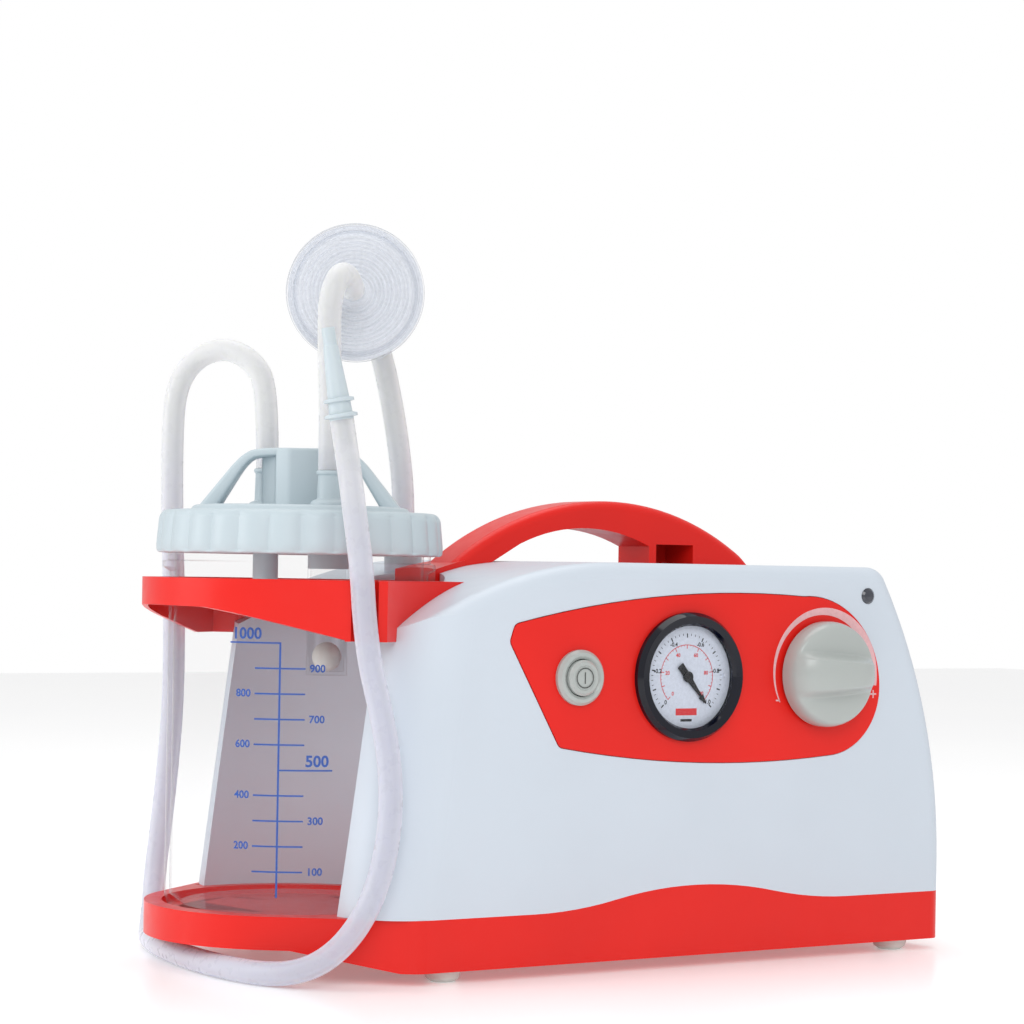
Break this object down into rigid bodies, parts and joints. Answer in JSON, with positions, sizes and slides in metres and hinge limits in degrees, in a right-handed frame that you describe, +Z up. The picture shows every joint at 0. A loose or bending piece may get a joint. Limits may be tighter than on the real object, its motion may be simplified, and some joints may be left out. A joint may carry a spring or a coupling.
{
  "type": "suction pump",
  "caption": "Portable medical suction pump: moulded housing with gauge, knob and switch, clear jar in a ring holder, disc filter and silicone tubes.",
  "frame": {"origin": "under the middle of the machine, on the surface that it stands on", "axes": "+Z up, +Y from the control panel to the back, +X from the jar to the far end of the housing"},
  "size_m": [0.3575, 0.2023, 0.32],
  "materials": {
    "white_housing": "moulded white ABS, satin",
    "red_plastic": "moulded red ABS, semi-gloss",
    "black_gloss": "black gloss",
    "dial_white": "printed white dial",
    "clear_window": "clear",
    "needle_black": "matt black",
    "knob_grey": "satin warm grey",
    "lid_grey": "satin light blue grey",
    "jar_clear": "clear polycarbonate",
    "silicone": "translucent milky silicone",
    "soft_rubber": "pale rubber",
    "black_rubber": "black rubber",
    "filter_clear": "clear ribbed",
    "membrane": "white pleatless membrane",
    "steel": "zinc plated",
    "aluminium": "as cast",
    "black_plastic": "black moulded",
    "board_green": "printed board",
    "battery_case": "dark grey case",
    "fitting_blue": "translucent pale blue",
    "led_smoke": "smoked lens"
  },
  "bodies": {
    "housing": {"base_tray": "red_plastic", "front_shell": "white_housing", "rear_shell": "white_housing", "control_panel": "red_plastic", "holder_and_handle": "red_plastic", "patient_tube": "silicone", "filter_to_pump_tube": "silicone", "conical_fitting": "fitting_blue", "vacuum_inlet_nozzle": "lid_grey", "gauge_case": "black_gloss", "gauge_bezel": "black_gloss", "gauge_lens": "clear_window", "gauge_dial": "dial_white", "gauge_stem": "steel", "switch_bezel": "knob_grey", "button_return_pad": "black_rubber", "switch_body": "black_plastic", "regulator_body": "aluminium", "regulator_nut": "steel", "led_lens": "led_smoke", "motor_can": "steel", "pump_crankcase": "aluminium", "pump_cylinder": "aluminium", "cylinder_head": "aluminium", "head_screws": "steel", "pump_bracket": "steel", "pump_mounts": "black_rubber", "battery": "battery_case", "battery_clamp": "steel", "charge_board": "board_green", "dc_socket": "black_plastic", "inlet_hose": "silicone", "gauge_hose": "silicone", "exhaust_silencer": "black_plastic", "rubber_feet": "soft_rubber", "base_screws": "steel", "shell_screws": "steel"},
    "jar_unit": {"jar": "jar_clear", "lid": "lid_grey", "lid_gasket": "black_rubber", "float_cage": "jar_clear", "filter_front_shell": "filter_clear", "filter_back_shell": "filter_clear", "filter_membrane": "membrane", "lid_to_filter_tube": "silicone"},
    "float": {"float_ball": "soft_rubber"},
    "knob": {"suction_knob": "knob_grey", "regulator_stem": "steel"},
    "button": {"power_button": "knob_grey"},
    "needle": {"gauge_needle": "needle_black"},
    "rotor": {"motor_shaft": "steel", "eccentric": "steel", "cooling_fan": "black_plastic"},
    "piston_unit": {"piston": "aluminium", "piston_seal": "black_rubber", "connecting_rod": "aluminium"}
  },
  "joints": [
    {"name": "jar_lift", "type": "slide", "parent": "housing", "child": "jar_unit", "axis": [0, 0, 1], "range_m": [0, 0.15], "deforming": ["patient_tube", "filter_to_pump_tube"]},
    {"name": "float_rise", "type": "slide", "parent": "jar_unit", "child": "float", "axis": [0, 0, 1], "range_m": [0, 0.026]},
    {"name": "knob_turn", "type": "hinge", "parent": "housing", "child": "knob", "pos_m": [0.1058, -0.0821, 0.127], "axis": [0, -1, 0], "range_deg": [-135, 135]},
    {"name": "button_press", "type": "slide", "parent": "housing", "child": "button", "axis": [0, 1, 0], "range_m": [0, 0.0025], "stiffness_N_per_m": 800, "springref_m": -0.0008, "deforming": ["button_return_pad"]},
    {"name": "needle_sweep", "type": "hinge", "parent": "housing", "child": "needle", "pos_m": [0.0318, -0.0821, 0.126], "axis": [0, -1, 0], "range_deg": [0, 270], "stiffness_Nm_per_rad": 0.00002, "springref_deg": -17.19},
    {"name": "motor_spin", "type": "hinge", "parent": "housing", "child": "rotor", "pos_m": [0.007, -0.0137, 0.052], "axis": [1, 0, 0], "continuous": true},
    {"name": "piston_stroke", "type": "slide", "parent": "housing", "child": "piston_unit", "axis": [0, 0, 1], "range_m": [-0.003, 0.003]}
  ]
}
